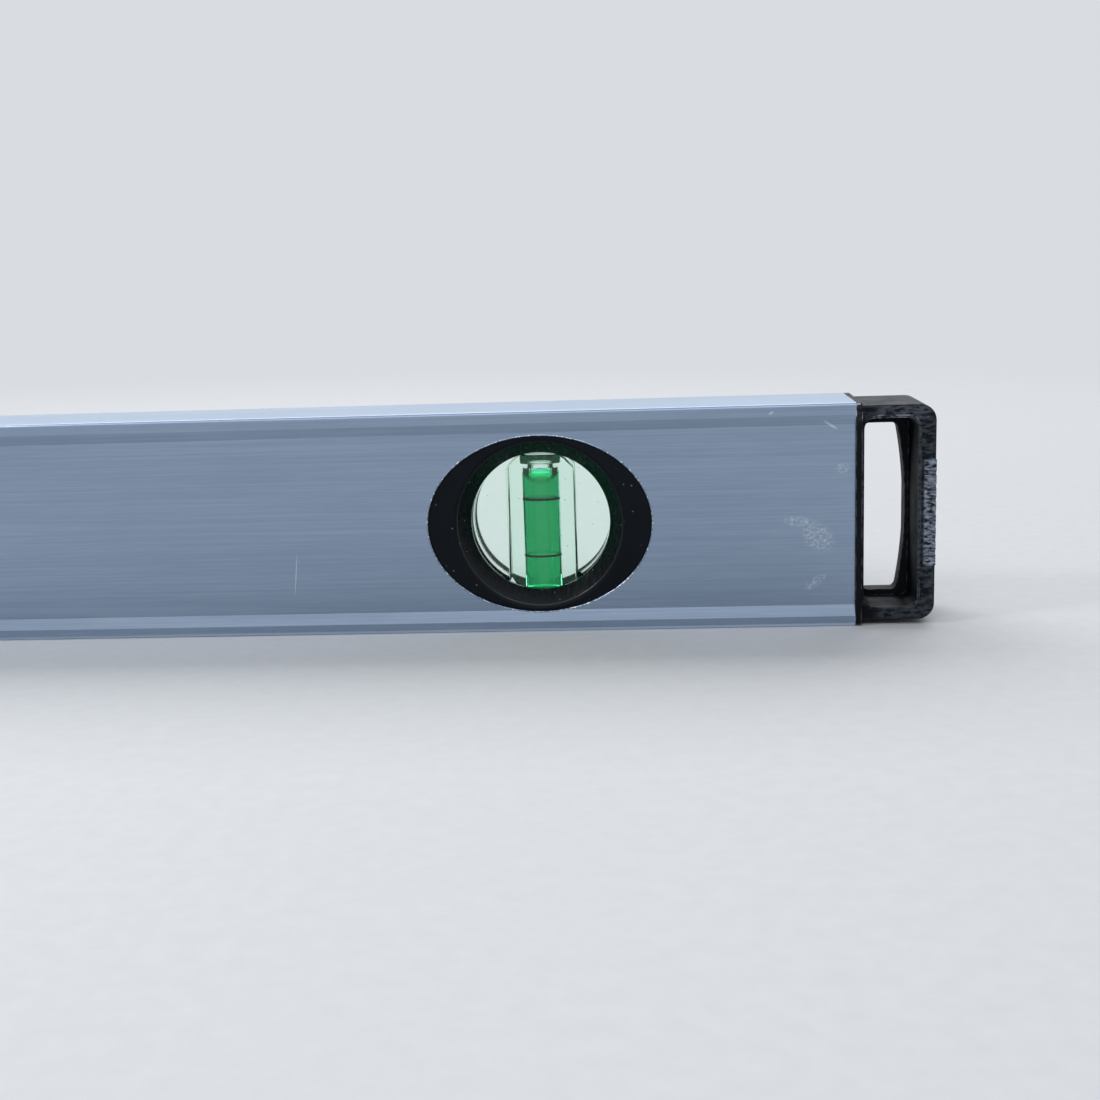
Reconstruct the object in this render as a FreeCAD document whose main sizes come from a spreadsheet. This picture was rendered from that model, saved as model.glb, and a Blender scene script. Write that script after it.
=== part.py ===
import FreeCAD, Part
import math
import os
import re
import Sketcher

# Magnetic spirit level: a hollow aluminium profile with two plumb vials and a level vial in oval
# inserts, a moulded cap on each end and four magnets in the base. Millimetres, +Z up.
# The origin is the middle of the base, +X runs to the right-hand cap and the front faces -Y.

# Driving sizes: alias, value, meaning
SIZES = [
    ("overall_length", 600, "over both end caps"),
    ("profile_height", 50, "from the base to the top edge"),
    ("profile_depth", 24, "over the rims, front to back"),
    ("side_wall", 1.5, "thickness of the two tall walls"),
    ("base_wall", 3.2, "thickness of the base"),
    ("top_wall", 3.0, "thickness of the top edge"),
    ("panel_recess", 0.8, "the sunk panel below the rims"),
    ("bottom_rim", 2.2, "height of the rim along the base"),
    ("top_rim", 2.6, "height of the rim along the top"),
    ("bottom_slope", 2.5, "height of the slope from the bottom rim to the panel"),
    ("top_slope", 2.2, "height of the slope from the top rim to the panel"),
    ("rim_edge", 0.7, "radius of the long outer edges"),
    ("cavity_corner", 1.0, "radius of the long inner edges"),
    ("plumb_inset", 70.3, "from the profile's end to the middle of a plumb vial"),
    ("window_height", 24.4, "from the base to the middle of the vial inserts"),
    ("oval_width", 50.7, "oval cut-out in the profile, along the level"),
    ("oval_height", 40.2, "oval cut-out in the profile, upright"),
    ("bezel_clearance", 0.15, "between an insert and its cut-out, all round"),
    ("bezel_sink", 0.35, "the face of the insert below the panel"),
    ("bezel_plate", 2.0, "thickness of the oval plate"),
    ("collar_diameter", 39.0, "outside of the tube behind the plate"),
    ("funnel_diameter", 37.9, "rim of the funnel"),
    ("funnel_edge", 0.5, "chamfer round the rim of the funnel"),
    ("window_diameter", 31.6, "the round window at the foot of the funnel"),
    ("lip_thickness", 1.0, "the lip round the window"),
    ("block_width", 15.3, "clear vial block, across the bore"),
    ("block_depth", 12.0, "clear vial block, front to back"),
    ("block_reach", 17.2, "block beyond the window's middle, at its closed end"),
    ("block_plug_reach", 15.0, "block beyond the window's middle, at its plugged end"),
    ("block_chamfer", 3.0, "corners of the block"),
    ("block_clearance", 0.15, "between the block and its seat, all round"),
    ("wing_radius", 15.9, "round wings beside the block"),
    ("wing_thickness", 5.0, "thickness of the wings"),
    ("wing_clearance", 0.3, "between the wings and the insert"),
    ("bore_diameter", 8.5, "vial bore"),
    ("bore_floor", 1.3, "wall at the closed end of the bore"),
    ("bore_length", 27.7, "length of the full bore"),
    ("neck_diameter", 6.3, "narrow end of the bore, under the plug"),
    ("neck_length", 1.0, "length of the narrow end"),
    ("ring_spacing", 13.15, "between the two rings, middle to middle"),
    ("ring_height", 0.45, "width of a ring along the bore"),
    ("ring_wall", 0.3, "radial thickness of a ring"),
    ("plug_diameter", 9.5, "plug that closes the bore"),
    ("plug_clearance", 0.1, "between the plug and its seat"),
    ("plug_thickness", 1.6, "thickness of the plug"),
    ("bubble_height", 3.6, "air over the liquid in an upright vial, at the wall"),
    ("meniscus_sag", 0.9, "the liquid's middle below its edge"),
    ("level_bubble_length", 12.4, "bubble of the level vial, along the bore"),
    ("level_bubble_width", 6.4, "bubble of the level vial, across the bore"),
    ("level_bubble_drop", 2.6, "bubble of the level vial, below the top of the bore"),
    ("cap_reach", 17.6, "end cap beyond the profile"),
    ("cap_flange", 1.4, "flange of the cap, as large as the profile"),
    ("cap_inner_bar", 1.85, "from the profile to the window"),
    ("cap_inset", 0.8, "frame of the cap inside the flange's front and back"),
    ("cap_inset_bottom", 0.95, "frame of the cap above the base"),
    ("cap_inset_top", 0.8, "frame of the cap below the top"),
    ("cap_corner", 3.6, "radius of the outer corners of the frame"),
    ("cap_edge", 0.5, "chamfer along the frame's front and back edges"),
    ("cap_bar", 3.9, "thickness of the outer bar"),
    ("cap_bottom_bar", 3.05, "thickness of the lower bar"),
    ("cap_top_bar", 2.8, "thickness of the upper bar"),
    ("cap_window_corner", 2.4, "corner radius of the window's rim"),
    ("cap_draft", 4.0, "degrees of draft on the window's walls"),
    ("cap_web", 4.0, "thickness of the web half way through the window"),
    ("web_ledge_top", 2.0, "web below the window's upper edge"),
    ("web_ledge_bottom", 2.0, "web above the window's lower edge"),
    ("web_ledge_inner", 0.9, "web beside the inner bar"),
    ("web_ledge_side", 3.3, "web beside the outer bar, at its ends"),
    ("web_bow", 2.3, "how far the web's edge bows out at the middle"),
    ("web_corner", 1.6, "corner radius of the web's opening"),
    ("bead_width", 0.55, "bead round the window"),
    ("bead_height", 0.35, "bead above the frame"),
    ("grip_bottom", 13.3, "from the base to the grip's lower edge"),
    ("grip_height", 23.7, "height of the ribbed grip"),
    ("grip_width", 2.7, "width of the ribbed grip"),
    ("grip_rise", 0.4, "grip above the frame"),
    ("grip_groove", 0.9, "width of a groove in the grip"),
    ("grip_groove_length", 1.5, "length of a groove, from the outer edge"),
    ("grip_grooves", 7, "number of grooves in the grip"),
    ("spigot_length", 15.0, "spigot of the cap, inside the profile"),
    ("spigot_clearance", 0.3, "between the spigot and the profile, bridged by ribs"),
    ("spigot_wall", 2.0, "wall of the hollow spigot"),
    ("spigot_rib", 1.4, "width of a rib on the spigot"),
    ("spigot_chamfer", 0.8, "lead-in at the end of the spigot"),
    ("magnet_diameter", 15.0, "disc magnet"),
    ("magnet_thickness", 2.4, "disc magnet"),
    ("magnet_clearance", 0.1, "between a magnet and its pocket"),
    ("magnet_sink", 0.1, "face of a magnet above the measuring face"),
    ("magnet_edge", 0.3, "chamfer of a magnet"),
    ("magnet_inset", 32.0, "from the profile's end to the middle of an outer magnet"),
]

ALIASES = {alias for alias, value, meaning in SIZES}

document = FreeCAD.newDocument("magnetic_spirit_level")
sheet = document.addObject("Spreadsheet::Sheet", "Sizes")
for row, (alias, value, meaning) in enumerate(SIZES, 1):
    sheet.set("A%d" % row, alias)
    sheet.set("B%d" % row, str(value))
    sheet.set("C%d" % row, meaning)
    sheet.setAlias("B%d" % row, alias)
document.recompute()


def size(alias):
    """The value of a driving size."""
    return float(sheet.get(alias))


def ref(text):
    """The expression with each driving size read from the sheet."""
    return re.sub("[a-z_]+", lambda word: "Sizes." + word[0] if word[0] in ALIASES else word[0], text)


# Lengths worked out from the driving sizes, as expressions
HALF_PROFILE = "(overall_length / 2 - cap_reach)"
PLUMB_X = "(overall_length / 2 - cap_reach - plumb_inset)"
PANEL_Y = "(profile_depth / 2 - panel_recess)"
CAVITY_Y = "(profile_depth / 2 - panel_recess - side_wall)"
CAVITY_TOP = "(profile_height - top_wall)"
PLATE_Y = "(profile_depth / 2 - panel_recess - bezel_sink)"
SEAT_Y = "(block_depth / 2)"
FRAME_Y = "(profile_depth / 2 - cap_inset)"
FRAME_TOP = "(profile_height - cap_inset_top)"
WINDOW_X = "(cap_reach - cap_bar)"
WINDOW_BOTTOM = "(cap_inset_bottom + cap_bottom_bar)"
WINDOW_TOP = "(profile_height - cap_inset_top - cap_top_bar)"
BORE_BOTTOM = "(bore_floor - block_reach)"
BORE_TOP = "(bore_floor - block_reach + bore_length)"
RING_MIDDLE = "(bore_floor - block_reach + bore_length / 2)"
GRIP_PITCH = "(grip_height / (grip_grooves + 1))"
PLUG_BOTTOM = "(bore_floor - block_reach + bore_length + neck_length)"
OUTER_MAGNET = "(overall_length / 2 - cap_reach - magnet_inset)"
MAGNET_PLACES = ["-" + OUTER_MAGNET, "-" + OUTER_MAGNET + " / 3", OUTER_MAGNET + " / 3", OUTER_MAGNET]


def amount(text):
    """The number that an expression gives with the sheet's present sizes."""
    return float(sheet.evalExpression(text))


def origin_plane(body, role):
    for item in body.Origin.OriginFeatures:
        if item.Role == role:
            return item
    raise ValueError("no origin feature " + role)


def new_body(name):
    body = document.addObject("PartDesign::Body", name)
    body.Label = name
    return body


def new_sketch(body, name, role, offset="0", turn=0):
    """A sketch on an origin plane of the body, moved along the plane's normal and turned in it."""
    sketch = body.newObject("Sketcher::SketchObject", body.Name + "_" + name)
    sketch.AttachmentSupport = [(origin_plane(body, role), "")]
    sketch.MapMode = "FlatFace"
    sketch.AttachmentOffset = FreeCAD.Placement(
        FreeCAD.Vector(0, 0, 0), FreeCAD.Rotation(FreeCAD.Vector(0, 0, 1), turn))
    sketch.setExpression("AttachmentOffset.Base.z", ref(offset))
    return sketch


def bind(sketch, constraint, text):
    """Add a dimension to the sketch and bind it to an expression."""
    index = sketch.addConstraint(constraint)
    sketch.setExpression("Constraints[%d]" % index, ref(text))


def pin_point(sketch, geometry, position, across, up):
    """Hold a point of the sketch at a place given by two expressions."""
    bind(sketch, Sketcher.Constraint("DistanceX", -1, 1, geometry, position, amount(across)), across)
    bind(sketch, Sketcher.Constraint("DistanceY", -1, 1, geometry, position, amount(up)), up)


def outline(sketch, corners):
    """A closed outline of straight edges through corners given as pairs of expressions."""
    points = [FreeCAD.Vector(amount(across), amount(up), 0) for across, up in corners]
    count = len(points)
    edges = [Part.LineSegment(points[i], points[(i + 1) % count]) for i in range(count)]
    first = sketch.addGeometry(edges, False)[0]
    for i in range(count):
        sketch.addConstraint(Sketcher.Constraint("Coincident", first + i, 2, first + (i + 1) % count, 1))
    for i, (across, up) in enumerate(corners):
        pin_point(sketch, first + i, 1, across, up)
    return first


def rectangle(sketch, left, right, bottom, top):
    return outline(sketch, [(left, bottom), (right, bottom), (right, top), (left, top)])


def circle(sketch, across, up, diameter):
    centre = FreeCAD.Vector(amount(across), amount(up), 0)
    normal = FreeCAD.Vector(0, 0, 1)
    index = sketch.addGeometry(Part.Circle(centre, normal, amount(diameter) / 2), False)
    pin_point(sketch, index, 3, across, up)
    bind(sketch, Sketcher.Constraint("Diameter", index, amount(diameter)), diameter)
    return index


def ellipse(sketch, across, up, long_axis, short_axis, upright=False):
    """An ellipse whose axes are bound through its own axis lines."""
    centre = FreeCAD.Vector(amount(across), amount(up), 0)
    half_long = FreeCAD.Vector(amount(long_axis) / 2, 0, 0)
    half_short = FreeCAD.Vector(0, amount(short_axis) / 2, 0)
    if upright:
        half_long, half_short = FreeCAD.Vector(0, half_long.x, 0), FreeCAD.Vector(-half_short.y, 0, 0)
    index = sketch.addGeometry(Part.Ellipse(centre + half_long, centre + half_short, centre), False)
    sketch.exposeInternalGeometry(index)
    pin_point(sketch, index, 3, across, up)
    sketch.addConstraint(Sketcher.Constraint("Vertical" if upright else "Horizontal", index + 1))
    bind(sketch, Sketcher.Constraint("Distance", index + 1, amount(long_axis)), long_axis)
    bind(sketch, Sketcher.Constraint("Distance", index + 2, amount(short_axis)), short_axis)
    return index


def made(feature):
    """Recompute, and stop at once where the new feature has failed."""
    document.recompute()
    for item in [feature] + feature.OutListRecursive:
        if "Invalid" in item.State or "Error" in item.State:
            raise ValueError("%s failed: %s" % (item.Name, item.getStatusString()))
    return feature


def extrude(body, kind, sketch, length, reverse=False, both=False, taper="0"):
    """A Pad or Pocket of the sketch; `both` spreads the length to each side of the sketch."""
    feature = body.newObject("PartDesign::" + kind, sketch.Name + "_" + kind.lower())
    feature.Profile = sketch
    feature.SideType = "Symmetric" if both else "One side"
    feature.Reversed = reverse
    feature.setExpression("Length", ref(length))
    feature.setExpression("TaperAngle", ref(taper) + " * 1 deg")
    return made(feature)


def turn_round(body, kind, sketch, axis):
    """A Revolution or Groove of the sketch about one of the sketch's own axes."""
    feature = body.newObject("PartDesign::" + kind, sketch.Name + "_" + kind.lower())
    feature.Profile = sketch
    feature.ReferenceAxis = (sketch, [axis])
    feature.Angle = 360
    return made(feature)


def mirror(body, features, role):
    """The features again on the other side of an origin plane."""
    feature = body.newObject("PartDesign::Mirrored", features[0].Name + "_mirrored")
    feature.Originals = features
    feature.MirrorPlane = (origin_plane(body, role), [""])
    body.Tip = feature
    return made(feature)


def repeat(body, features, role, length, copies):
    """The features again, spread evenly along an origin axis."""
    feature = body.newObject("PartDesign::LinearPattern", features[0].Name + "_repeated")
    feature.Originals = features
    feature.Direction = (origin_plane(body, role), [""])
    feature.setExpression("Length", ref(length))
    feature.setExpression("Occurrences", ref(copies))
    body.Tip = feature
    return made(feature)


def dress(body, kind, prop, text, wanted):
    """A Fillet or Chamfer on each edge of the body that the test accepts."""
    base = body.Tip
    names = ["Edge%d" % (i + 1) for i, edge in enumerate(base.Shape.Edges) if wanted(edge)]
    if not names:
        raise ValueError("no edge to dress on " + body.Name)
    feature = body.newObject("PartDesign::" + kind, "%s_%s_%s" % (body.Name, kind.lower(), text))
    feature.Base = (base, names)
    feature.setExpression(prop, ref(text))
    return made(feature)


def near(a, b, slack=0.02):
    return abs(a - b) < slack


def runs_along(edge, axis):
    """True for a straight edge parallel to an axis: 0 is X, 1 is Y and 2 is Z."""
    if edge.Curve.TypeId != "Part::GeomLine":
        return False
    return abs(edge.Curve.Direction[axis]) > 0.999


def middle(edge):
    return edge.BoundBox.Center


def place(body, x="0", y="0", z="0", axis=(0, 0, 1), angle=0):
    """Put a finished body where it belongs in the level."""
    body.Placement = FreeCAD.Placement(
        FreeCAD.Vector(0, 0, 0), FreeCAD.Rotation(FreeCAD.Vector(*axis), angle))
    body.setExpression("Placement.Base.x", ref(x))
    body.setExpression("Placement.Base.y", ref(y))
    body.setExpression("Placement.Base.z", ref(z))
    document.recompute()


def make_profile():
    """Extruded box section with sunk panels, oval cut-outs through both walls and magnet pockets."""
    body = new_body("profile")
    section = new_sketch(body, "section", "YZ_Plane", "-" + HALF_PROFILE)
    rim = "(profile_depth / 2)"
    low = "bottom_rim"
    low_panel = "(bottom_rim + bottom_slope)"
    high = "(profile_height - top_rim)"
    high_panel = "(profile_height - top_rim - top_slope)"
    front = [("-" + rim, "0"), ("-" + rim, low), ("-" + PANEL_Y, low_panel),
             ("-" + PANEL_Y, high_panel), ("-" + rim, high), ("-" + rim, "profile_height")]
    back = [(across[1:], up) for across, up in reversed(front)]
    outline(section, front + back)
    rectangle(section, "-" + CAVITY_Y, CAVITY_Y, "base_wall", CAVITY_TOP)
    extrude(body, "Pad", section, "overall_length - 2 * cap_reach")
    half_depth = size("profile_depth") / 2
    height = size("profile_height")
    dress(body, "Fillet", "Radius", "rim_edge", lambda edge: runs_along(edge, 0)
          and near(abs(middle(edge).y), half_depth)
          and (near(middle(edge).z, 0) or near(middle(edge).z, height)))
    cavity_y = amount(CAVITY_Y)
    dress(body, "Fillet", "Radius", "cavity_corner", lambda edge: runs_along(edge, 0)
          and near(abs(middle(edge).y), cavity_y))
    ovals = new_sketch(body, "oval", "XZ_Plane")
    ellipse(ovals, "-" + PLUMB_X, "window_height", "oval_width", "oval_height")
    oval = extrude(body, "Pocket", ovals, "2 * profile_depth", both=True)
    repeat(body, [oval], "X_Axis", "2 * " + PLUMB_X, "3")
    pockets = new_sketch(body, "magnets", "XY_Plane")
    for across in MAGNET_PLACES:
        circle(pockets, across, "0", "magnet_diameter + 2 * magnet_clearance")
    extrude(body, "Pocket", pockets, "magnet_thickness + magnet_sink", reverse=True)
    return body


def make_end_cap(name, side):
    """Moulded cap: flange, frame with a hanging window, bowed web, bead, ribbed grip and spigot."""
    body = new_body(name)
    flange = new_sketch(body, "flange", "YZ_Plane")
    rectangle(flange, "-profile_depth / 2", "profile_depth / 2", "0", "profile_height")
    extrude(body, "Pad", flange, "cap_flange")
    height = size("profile_height")
    dress(body, "Fillet", "Radius", "rim_edge", lambda edge: runs_along(edge, 0)
          and (near(middle(edge).z, 0) or near(middle(edge).z, height)))
    add_cap_frame(body)
    cut_cap_window(body)
    add_cap_grip(body)
    add_cap_spigot(body)
    place(body, x=HALF_PROFILE if side > 0 else "-" + HALF_PROFILE, angle=0 if side > 0 else 180)
    return body


def add_cap_frame(body):
    frame = new_sketch(body, "frame", "XZ_Plane")
    rectangle(frame, "cap_flange / 2", "cap_reach", "cap_inset_bottom", FRAME_TOP)
    extrude(body, "Pad", frame, "2 * " + FRAME_Y, both=True)
    reach = size("cap_reach")
    dress(body, "Fillet", "Radius", "cap_corner", lambda edge: runs_along(edge, 1)
          and near(middle(edge).x, reach))
    face = amount(FRAME_Y)
    flange = size("cap_flange")
    dress(body, "Chamfer", "Size", "cap_edge", lambda edge: near(abs(middle(edge).y), face)
          and near(edge.BoundBox.YLength, 0) and middle(edge).x > flange + 0.1)


def cut_cap_window(body):
    """Drafted pockets from the front and the back, a bead round them and the web's opening."""
    bead = new_sketch(body, "bead", "XZ_Plane", FRAME_Y)
    rounded_window(bead, "bead_width")
    ring = extrude(body, "Pad", bead, "bead_height")
    mirror(body, [ring], "XZ_Plane")
    window = new_sketch(body, "window", "XZ_Plane", FRAME_Y + " + bead_height")
    rounded_window(window, "0")
    depth = FRAME_Y + " + bead_height - cap_web / 2"
    pocket = extrude(body, "Pocket", window, depth, taper="-cap_draft")
    mirror(body, [pocket], "XZ_Plane")
    opening = new_sketch(body, "opening", "XZ_Plane")
    web_opening(opening)
    extrude(body, "Pocket", opening, "2 * cap_web", both=True)
    web = size("cap_web")
    dress(body, "Fillet", "Radius", "web_corner", lambda edge: runs_along(edge, 1)
          and near(edge.BoundBox.YLength, web, 0.1))


def rounded_window(sketch, margin):
    """The window's outline with rounded corners, grown by a margin all round."""
    left = "cap_inner_bar - " + margin
    right = WINDOW_X + " + " + margin
    bottom = WINDOW_BOTTOM + " - " + margin
    top = WINDOW_TOP + " + " + margin
    radius = "cap_window_corner + " + margin
    rounded_box(sketch, left, right, bottom, top, radius)


def rounded_box(sketch, left, right, bottom, top, radius):
    """A rectangle with four tangent corner arcs of one radius."""
    x0, x1, z0, z1, r = (amount(text) for text in (left, right, bottom, top, radius))
    corners = [(x0 + r, z0 + r, 180), (x1 - r, z0 + r, 270), (x1 - r, z1 - r, 0), (x0 + r, z1 - r, 90)]
    arcs = []
    for x, z, start in corners:
        round_corner = Part.Circle(FreeCAD.Vector(x, z, 0), FreeCAD.Vector(0, 0, 1), r)
        arc = Part.ArcOfCircle(round_corner, math.radians(start), math.radians(start + 90))
        arcs.append(sketch.addGeometry(arc, False))
    for i in range(4):
        here = sketch.getPoint(arcs[i], 2)
        there = sketch.getPoint(arcs[(i + 1) % 4], 1)
        line = sketch.addGeometry(Part.LineSegment(here, there), False)
        sketch.addConstraint(Sketcher.Constraint("Tangent", arcs[i], 2, line, 1))
        sketch.addConstraint(Sketcher.Constraint("Tangent", line, 2, arcs[(i + 1) % 4], 1))
    places = [(left + " + " + radius, bottom + " + " + radius),
              (right + " - (" + radius + ")", bottom + " + " + radius),
              (right + " - (" + radius + ")", top + " - (" + radius + ")"),
              (left + " + " + radius, top + " - (" + radius + ")")]
    for arc, (across, up) in zip(arcs, places):
        pin_point(sketch, arc, 3, across, up)
    bind(sketch, Sketcher.Constraint("Radius", arcs[0], amount(radius)), radius)


def web_opening(sketch):
    """The opening in the web: straight on three sides, bowed towards the outer bar."""
    left = "cap_inner_bar + web_ledge_inner"
    right = WINDOW_X + " - web_ledge_side"
    bottom = WINDOW_BOTTOM + " + web_ledge_bottom"
    top = WINDOW_TOP + " - web_ledge_top"
    half = "((" + top + " - " + bottom + ") / 2)"
    level = "((" + WINDOW_TOP + " - web_ledge_top + " + WINDOW_BOTTOM + " + web_ledge_bottom) / 2)"
    corners = [(right, top), (left, top), (left, bottom), (right, bottom)]
    points = [FreeCAD.Vector(amount(across), amount(up), 0) for across, up in corners]
    bowed = FreeCAD.Vector(amount(right + " + web_bow"), amount(level), 0)
    lines = [Part.LineSegment(points[i], points[i + 1]) for i in range(3)]
    first = sketch.addGeometry(lines, False)[0]
    arc = sketch.addGeometry(Part.Arc(points[3], bowed, points[0]), False)
    sketch.addConstraint(Sketcher.Constraint("Coincident", first, 2, first + 1, 1))
    sketch.addConstraint(Sketcher.Constraint("Coincident", first + 1, 2, first + 2, 1))
    sketch.addConstraint(Sketcher.Constraint("Coincident", first + 2, 2, arc, 1))
    sketch.addConstraint(Sketcher.Constraint("Coincident", arc, 2, first, 1))
    pin_point(sketch, first, 1, right, top)
    pin_point(sketch, first + 1, 1, left, top)
    pin_point(sketch, first + 2, 1, left, bottom)
    pin_point(sketch, first + 2, 2, right, bottom)
    radius = "(pow(" + half + "; 2) + pow(web_bow; 2)) / (2 * web_bow)"
    bind(sketch, Sketcher.Constraint("Radius", arc, amount(radius)), radius)


def add_cap_grip(body):
    """Raised strip on the outer bar, front and back, with grooves cut in from its outer edge."""
    pad = new_sketch(body, "grip", "XZ_Plane", FRAME_Y + " - cap_edge")
    rectangle(pad, "cap_reach - grip_width", "cap_reach", "grip_bottom", "grip_bottom + grip_height")
    raised = extrude(body, "Pad", pad, "grip_rise + cap_edge")
    mirror(body, [raised], "XZ_Plane")
    low = "grip_bottom + " + GRIP_PITCH
    for name, offset, outwards in (("front_groove", FRAME_Y, True), ("back_groove", "-" + FRAME_Y, False)):
        groove = new_sketch(body, name, "XZ_Plane", offset)
        rectangle(groove, "cap_reach - grip_groove_length", "cap_reach + grip_groove_length",
                  low + " - grip_groove / 2", low + " + grip_groove / 2")
        cut = extrude(body, "Pocket", groove, "2 * grip_rise", reverse=outwards)
        repeat(body, [cut], "Z_Axis", "(grip_grooves - 1) * " + GRIP_PITCH, "grip_grooves")


def add_cap_spigot(body):
    """Hollow spigot behind the flange, with ribs that meet the walls of the profile."""
    spigot = new_sketch(body, "spigot", "YZ_Plane")
    side = CAVITY_Y + " - spigot_clearance"
    low = "base_wall + spigot_clearance"
    high = CAVITY_TOP + " - spigot_clearance"
    rounded_box(spigot, "-(" + side + ")", side, low, high, "cavity_corner")
    extrude(body, "Pad", spigot, "spigot_length", reverse=True)
    end = -size("spigot_length")
    dress(body, "Chamfer", "Size", "spigot_chamfer", lambda edge: near(middle(edge).x, end)
          and near(edge.BoundBox.XLength, 0))
    length = "spigot_length - 2 * spigot_chamfer"
    ribs = new_sketch(body, "ribs", "YZ_Plane")
    for up in ("profile_height / 4", "3 * profile_height / 4"):
        rectangle(ribs, "-" + CAVITY_Y, CAVITY_Y, up + " - spigot_rib / 2", up + " + spigot_rib / 2")
    extrude(body, "Pad", ribs, length, reverse=True)
    upright = new_sketch(body, "upright_rib", "YZ_Plane")
    rectangle(upright, "-spigot_rib / 2", "spigot_rib / 2", "base_wall", CAVITY_TOP)
    extrude(body, "Pad", upright, length, reverse=True)
    hollow = new_sketch(body, "hollow", "YZ_Plane")
    rounded_box(hollow, "-(" + side + " - spigot_wall)", side + " - spigot_wall",
                low + " + spigot_wall", high + " - spigot_wall", "cavity_corner")
    extrude(body, "Pocket", hollow, "2 * spigot_length")


def block_outline(sketch, margin, top):
    """The vial block seen from the front, with chamfered corners, grown by a margin."""
    side = "(block_width / 2 + " + margin + ")"
    low = "(block_reach + " + margin + ")"
    high = "(" + top + " + " + margin + ")"
    corner = "block_chamfer"
    outline(sketch, [(side + " - " + corner, "-" + low), (side, "-" + low + " + " + corner),
                     (side, high + " - " + corner), (side + " - " + corner, high),
                     ("-" + side + " + " + corner, high), ("-" + side, high + " - " + corner),
                     ("-" + side, "-" + low + " + " + corner), ("-" + side + " + " + corner, "-" + low)])


def make_bezel(name, across, facing, turn):
    """One half of a vial insert: oval plate, funnel, window lip and a seat for half of the block.

    It is modelled as a front half. A rear half is the same, turned round the upright axis.
    """
    body = new_body(name)
    plate = new_sketch(body, "plate", "XZ_Plane", PLATE_Y)
    ellipse(plate, "0", "0", "oval_width - 2 * bezel_clearance", "oval_height - 2 * bezel_clearance")
    extrude(body, "Pad", plate, "bezel_plate", reverse=True)
    collar = new_sketch(body, "collar", "XZ_Plane")
    circle(collar, "0", "0", "collar_diameter")
    extrude(body, "Pad", collar, PLATE_Y + " - bezel_plate / 2")
    funnel = new_sketch(body, "funnel", "XY_Plane")
    wing_room = "(wing_radius + wing_clearance)"
    window = "(window_diameter / 2)"
    lip = "-(block_depth / 2 + lip_thickness)"
    outline(funnel, [("0", "0"), ("0", "-2 * " + PLATE_Y), ("funnel_diameter / 2", "-2 * " + PLATE_Y),
                     ("funnel_diameter / 2", "-" + PLATE_Y), (window, lip), (window, "-" + SEAT_Y),
                     (wing_room, "-" + SEAT_Y), (wing_room, "0")])
    turn_round(body, "Groove", funnel, "V_Axis")
    seat = new_sketch(body, "seat", "XZ_Plane", turn=turn)
    block_outline(seat, "block_clearance", "block_reach")
    extrude(body, "Pocket", seat, SEAT_Y, reverse=True)
    radius = size("funnel_diameter") / 2
    face = -amount(PLATE_Y)
    dress(body, "Chamfer", "Size", "funnel_edge", lambda edge: near(edge.BoundBox.YMax, face)
          and edge.Curve.TypeId == "Part::GeomCircle" and near(edge.Curve.Radius, radius))
    place(body, across, "0", "window_height", angle=0 if facing == "front" else 180)
    return body


def make_vial_block(name, across, angle):
    """Clear moulding: block with round wings, a blind bore, its narrow neck and the plug's seat."""
    body = new_body(name)
    wings = new_sketch(body, "wings", "XZ_Plane")
    circle(wings, "0", "0", "2 * wing_radius")
    extrude(body, "Pad", wings, "wing_thickness", both=True)
    block = new_sketch(body, "block", "XZ_Plane")
    block_outline(block, "0", "block_plug_reach")
    extrude(body, "Pad", block, "block_depth", both=True)
    bore = new_sketch(body, "bore", "XZ_Plane")
    reach = "2 * block_reach"
    outline(bore, [("0", BORE_BOTTOM), ("bore_diameter / 2", BORE_BOTTOM), ("bore_diameter / 2", BORE_TOP),
                   ("neck_diameter / 2", BORE_TOP), ("neck_diameter / 2", PLUG_BOTTOM),
                   ("plug_diameter / 2", PLUG_BOTTOM), ("plug_diameter / 2", reach), ("0", reach)])
    turn_round(body, "Groove", bore, "V_Axis")
    place(body, across, "0", "window_height", (0, 1, 0), angle)
    return body


def ring_places():
    """The middle of each ring along the bore."""
    return [RING_MIDDLE + " + ring_spacing / 2", RING_MIDDLE + " - ring_spacing / 2"]


def cut_ring_seats(body):
    """Leave room in the liquid for the two rings."""
    for number, middle_of_ring in enumerate(ring_places(), 1):
        seat = new_sketch(body, "seat_%d" % number, "XZ_Plane")
        low = middle_of_ring + " - ring_height / 2"
        high = middle_of_ring + " + ring_height / 2"
        rectangle(seat, "bore_diameter / 2 - ring_wall", "bore_diameter", low, high)
        turn_round(body, "Groove", seat, "V_Axis")


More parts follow.
